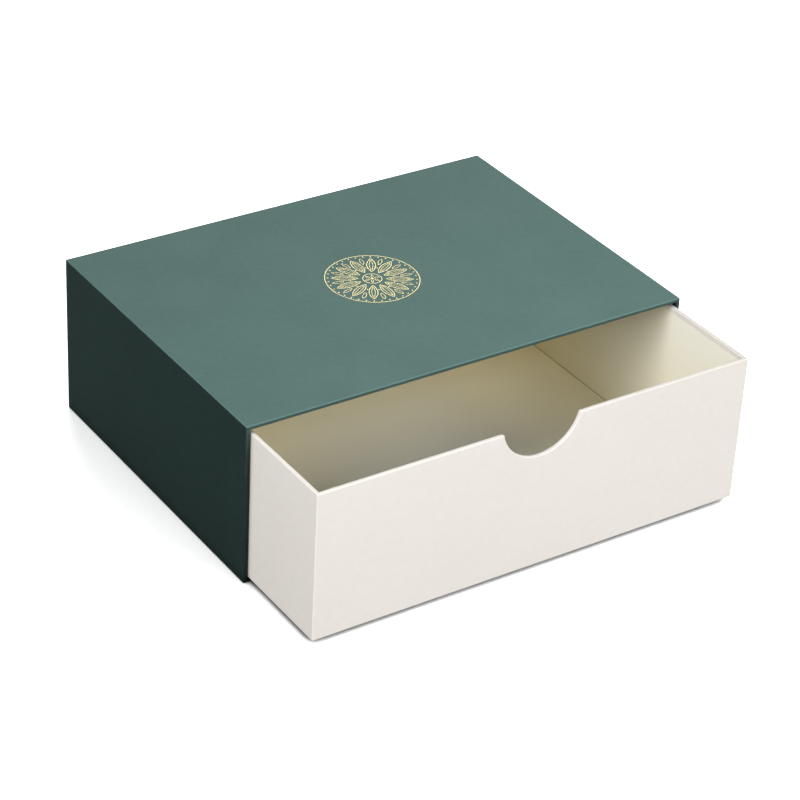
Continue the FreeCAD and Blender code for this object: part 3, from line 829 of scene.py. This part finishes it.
class GIFTBOX_OT_foil_rosette(bpy.types.Operator):
    """Model the stamped flower: veined petals, buds and beads between an eye and a border"""

    bl_idname = "giftbox.foil_rosette"
    bl_label = "Foil Rosette"
    bl_options = {"REGISTER", "UNDO"}

    # The seeds in the eye: the reach of their two tips, and half their width
    SEED_START, SEED_END, SEED_BULGE = 0.9 * MM, 3.9 * MM, 0.6 * MM

    def disc(self, reach, radius, below=0.0, vertices=16):
        """A flat disc on the X axis, or as far below it as given."""
        deselect()
        bpy.ops.mesh.primitive_circle_add(
            vertices=vertices, radius=radius, fill_type="NGON", location=(reach, -below, 0)
        )
        piece = named("motif")
        settle()
        return piece

    def outline(self, piece, line):
        """Leave only a line of this width along the motif's edge."""
        edit(piece)
        bpy.ops.mesh.select_mode(type="FACE")
        bpy.ops.mesh.select_all(action="SELECT")
        bpy.ops.mesh.inset(thickness=line, use_even_offset=True)
        bpy.ops.mesh.delete(type="FACE")
        leave_edit()
        return piece

    def leaf(self, start, end, bulge, line):
        """The outline of a pointed leaf lying along X: the lens between two arcs."""
        half, middle = (end - start) / 2, (start + end) / 2
        radius = (half * half + bulge * bulge) / (2 * bulge)
        piece = self.disc(middle, radius, radius - bulge, 128)
        edit(piece)
        bpy.ops.mesh.select_all(action="SELECT")
        bpy.ops.mesh.bisect(
            plane_co=(middle, 0, 0), plane_no=(0, 1, 0), clear_inner=True, threshold=1e-7
        )
        leave_edit()
        mirror = {"use_axis": (False, True, False), "use_mirror_merge": True}
        flush(piece, kind="MIRROR", merge_threshold=HAIR, **mirror)
        edit(piece)
        pick("EDGE", lambda edge: all(abs(vert.co.y) < HAIR for vert in edge.verts))
        bpy.ops.mesh.dissolve_edges()
        bpy.ops.mesh.select_all(action="SELECT")
        bpy.ops.mesh.normals_make_consistent(inside=False)
        leave_edit()
        return self.outline(piece, line)

    def ring_of(self, piece, count, turn=0.0):
        """Repeat a motif round the middle, the first one turned by an angle."""
        edit(piece)
        bpy.ops.mesh.select_all(action="SELECT")
        if turn:
            bpy.ops.transform.rotate(value=-turn, orient_axis="Z", center_override=(0, 0, 0))
        bpy.ops.mesh.spin(
            steps=count - 1,
            dupli=True,
            angle=2 * math.pi * (count - 1) / count,
            center=(0, 0, 0),
            axis=(0, 0, 1),
        )
        leave_edit()
        return piece

    def execute(self, context):
        foil = context.scene.gift_box_foil
        half_pitch = math.pi / foil.petals
        petal = (foil.petal_start, foil.petal_end, foil.petal_bulge, foil.line)
        vein = (
            foil.petal_start + foil.vein_inset,
            foil.petal_end - foil.vein_inset,
            foil.vein_bulge,
            foil.fine_line,
        )
        bud = (foil.bud_start, foil.bud_end, foil.bud_bulge, foil.fine_line)
        seed = (self.SEED_START, self.SEED_END, self.SEED_BULGE, foil.fine_line)
        parts = [
            self.ring_of(self.leaf(*petal), foil.petals),
            self.ring_of(self.leaf(*vein), foil.petals),
            self.ring_of(self.leaf(*bud), foil.petals, half_pitch),
            self.ring_of(self.disc(foil.bead_reach, foil.bead_radius), foil.petals * 3),
            self.ring_of(
                self.disc(foil.inner_bead_reach, foil.bead_radius), foil.petals, half_pitch
            ),
            self.outline(self.disc(0, foil.border_radius, vertices=128), foil.line),
            self.outline(self.disc(0, foil.eye_radius, vertices=96), foil.line),
            self.ring_of(self.leaf(*seed), foil.petals // 2),
            self.disc(0, foil.heart_radius, vertices=24),
        ]
        choose(*parts)
        bpy.ops.object.join()
        rosette = named("foil_rosette_stamp")
        rosette.location.z = FOIL_LOW.z
        settle()
        flush(rosette, kind="SOLIDIFY", thickness=FOIL_HIGH.z - FOIL_LOW.z, offset=1.0)
        finish_piece(rosette, "sleeve", hot_stamped_foil(), ["foil_rosette"], angle=30)
        return {"FINISHED"}


class GIFTBOX_OT_stock(bpy.types.Operator):
    """Give the boards, tapes, sheets and linings that stay as built their paper and board"""

    bl_idname = "giftbox.stock"
    bl_label = "Boards, Tapes and Sheets"
    bl_options = {"REGISTER", "UNDO"}

    def execute(self, context):
        finishes = {
            "_board": recycled_greyboard,
            "_tape": kraft_stay_tape,
            "sleeve_back_sheet": dyed_cover_paper,
            "sleeve_base_sheet": dyed_cover_paper,
            "sleeve_liner": dyed_lining_paper,
            "sleeve_back_liner": dyed_lining_paper,
            "tray_base_sheet": cream_cover_paper,
        }
        for name, node in NODES.items():
            for ending, make in finishes.items():
                if name.endswith(ending):
                    dress(node, make())
        return {"FINISHED"}


class Lamp(NamedTuple):
    """A soft lamp: its place, aim and size in metres, its watts, and what it may light.

    The tint is the name of one of the stage's colours, and a lamp without one is white.
    """

    name: str
    place: tuple
    aim: tuple
    size: tuple
    watts: float
    lights: str
    tint: str = ""


# What the lamps are aimed at
MIDDLE = (0, -0.03, 0.04)
LID_FRONT = (0, -0.08, 0.04)
TRAY_FRONT = (0, -0.11, 0.05)
SLEEVE_LEFT = (-0.115, 0.0, 0.04)


class GIFTBOX_OT_stage(bpy.types.Operator):
    """Set the white floor, the soft lamps, the even sky and the camera"""

    bl_idname = "giftbox.stage"
    bl_label = "Stage"
    bl_options = {"REGISTER", "UNDO"}

    LAMPS = (
        # Large and low in front: the tray's front, and through the opening its floor
        Lamp("front_softbox", (0.15, -1.70, 0.95), MIDDLE, (1.2, 0.9), 25.5, "all_but_sleeve"),
        Lamp("front_high_softbox", (0.12, -1.50, 1.15), MIDDLE, (1.0, 0.5), 2.0, "all_but_sleeve"),
        Lamp("front_right_softbox", (0.75, -1.15, 1.15), LID_FRONT, (0.6, 0.6), 1.4, "all"),
        # From the right and behind: the lid, and the tray's left wall inside
        Lamp("right_softbox", (1.40, 0.00, 0.80), MIDDLE, (0.9, 0.9), 7.6, "all_but_tray"),
        Lamp("right_low_softbox", (1.50, 0.00, 0.40), MIDDLE, (0.9, 0.6), 6.0, "tray"),
        Lamp("back_softbox", (0.80, 1.20, 1.10), MIDDLE, (1.2, 0.8), 17.6, "all_but_tray"),
        # Small and overhead: a pool of light on the front half of the lid
        Lamp("lid_card", (0.00, -0.42, 0.75), (-0.03, -0.06, 0.08), (0.2, 0.2), 7.6, "sleeve"),
        # Faint and cool on the sleeve's left side
        Lamp(
            "window_light",
            (-1.20, 0.05, 0.12),
            SLEEVE_LEFT,
            (0.6, 0.3),
            0.7,
            "sleeve",
            tint="window_blue",
        ),
        # From the left: the tray's left side, and its right wall inside
        Lamp("left_softbox", (-1.35, -0.27, 0.50), TRAY_FRONT, (0.5, 0.4), 7.0, "tray"),
        Lamp("left_high_softbox", (-0.80, -0.30, 1.10), TRAY_FRONT, (0.5, 0.5), 6.2, "tray"),
        Lamp("left_low_softbox", (-1.40, -0.25, 0.28), TRAY_FRONT, (0.5, 0.4), 2.2, "tray_lining"),
        Lamp("left_front_softbox", (-0.90, -0.60, 0.70), TRAY_FRONT, (0.5, 0.4), 1.6, "tray"),
    )
    # What the flags let a lamp light: pieces whose names start like this, or all the others
    TRAY, SLEEVE, LINING = "tray_", ("sleeve_", "foil_"), "tray_wall_lining"
    FLAGS = {
        "tray": (TRAY, True),
        "tray_lining": (LINING, True),
        "sleeve": (SLEEVE, True),
        "all_but_tray": (TRAY, False),
        "all_but_sleeve": (SLEEVE, False),
    }

    def execute(self, context):
        stage = context.scene.gift_box_stage
        deselect()
        just_under = (0, 0, -0.02 * MM)  # so that it shares no plane with the base
        bpy.ops.mesh.primitive_plane_add(size=2 * stage.floor_reach, location=just_under)
        floor = named("studio_floor")
        settle()
        dress(floor, seamless_paper_floor())
        receivers = self.flagged(context)
        for lamp in self.LAMPS:
            self.light(lamp, receivers.get(lamp.lights), stage)
        self.sky(context, stage)
        bpy.ops.object.camera_add(location=stage.camera_place, rotation=stage.camera_turn)
        camera = bpy.context.active_object
        camera.name = "studio_camera"
        camera.data.sensor_width = 36  # in Blender's millimetres
        camera.data.lens = stage.camera_lens
        camera.data.clip_start = 0.01
        camera.data.dof.use_dof = False
        context.scene.camera = camera
        context.scene.view_settings.view_transform = "Standard"
        return {"FINISHED"}

    def flagged(self, context):
        """For each of the flags, the collection of the pieces that it lets be lit."""
        receivers = {}
        for group, (start, inside) in self.FLAGS.items():
            receivers[group] = bpy.data.collections.new("light_on_" + group)
            for piece in context.scene.objects:
                if piece.type == "MESH" and piece.name.startswith(start) == inside:
                    receivers[group].objects.link(piece)
        return receivers

    def light(self, lamp, receivers, stage):
        """Set up one lamp, kept to its receivers if it has any."""
        look = Vector(lamp.aim) - Vector(lamp.place)
        turn = look.to_track_quat("-Z", "Y").to_euler()
        bpy.ops.object.light_add(type="AREA", location=lamp.place, rotation=turn)
        softbox = bpy.context.active_object
        softbox.name = softbox.data.name = lamp.name
        softbox.visible_camera = False
        if receivers:
            softbox.light_linking.receiver_collection = receivers
        softbox.data.shape = "RECTANGLE"
        softbox.data.size, softbox.data.size_y = lamp.size
        softbox.data.energy = lamp.watts
        if lamp.tint:
            softbox.data.color = getattr(stage, lamp.tint)[:3]

    def sky(self, context, stage):
        """White to the eye and in reflections, an even soft light to everything else."""
        world = bpy.data.worlds.new("studio_sky")
        world.use_nodes = True
        tree = world.node_tree
        tree.nodes.clear()
        by_eye, by_gloss = ray_kinds(tree)
        seen = add(tree, "Math", {0: by_eye, 1: by_gloss}, "Value", operation="MAXIMUM")
        even, white = (
            add(tree, "Background", {"Color": WHITE, "Strength": strength}, "Background")
            for strength in (stage.sky_strength, 1.0)
        )
        shown = add(tree, "MixShader", {0: seen, 1: even, 2: white}, "Shader")
        add(tree, "OutputWorld", {"Surface": shown})
        context.scene.world = world


# ---------------------------------------------------------------- panel and registration

OPERATORS = (
    GIFTBOX_OT_sleeve_wrap,
    GIFTBOX_OT_foil_rosette,
    GIFTBOX_OT_tray_wrap,
    GIFTBOX_OT_tray_lining,
    GIFTBOX_OT_stock,
    GIFTBOX_OT_stage,
)
SETTINGS = {
    "gift_box_papers": GiftBoxPapers,
    "gift_box_foil": GiftBoxFoil,
    "gift_box_colours": GiftBoxColours,
    "gift_box_stage": GiftBoxStage,
}


class GIFTBOX_PT_panel(bpy.types.Panel):
    """The box's sizes, colours and steps"""

    bl_idname = "GIFTBOX_PT_panel"
    bl_label = "Sliding Drawer Gift Box"
    bl_space_type = "VIEW_3D"
    bl_region_type = "UI"
    bl_category = "Gift Box"

    def draw(self, context):
        for operator in OPERATORS:
            self.layout.operator(operator.bl_idname)
        for name in SETTINGS:
            settings = getattr(context.scene, name)
            column = self.layout.column(align=True)
            for key in settings.__annotations__:
                column.prop(settings, key)


def register():
    """Add the settings, the operators and the panel."""
    for group in SETTINGS.values():
        bpy.utils.register_class(group)
    for operator in OPERATORS:
        bpy.utils.register_class(operator)
    bpy.utils.register_class(GIFTBOX_PT_panel)
    for name, group in SETTINGS.items():
        setattr(bpy.types.Scene, name, PointerProperty(type=group))


def unregister():
    """Take them away again."""
    for name in SETTINGS:
        delattr(bpy.types.Scene, name)
    bpy.utils.unregister_class(GIFTBOX_PT_panel)
    for operator in reversed(OPERATORS):
        bpy.utils.unregister_class(operator)
    for group in reversed(SETTINGS.values()):
        bpy.utils.unregister_class(group)


def main():
    """Make everything in order."""
    register()
    bpy.ops.giftbox.sleeve_wrap()
    bpy.ops.giftbox.foil_rosette()
    bpy.ops.giftbox.tray_wrap()
    bpy.ops.giftbox.tray_lining()
    bpy.ops.giftbox.stock()
    bpy.ops.giftbox.stage()


if __name__ == "__main__":
    main()
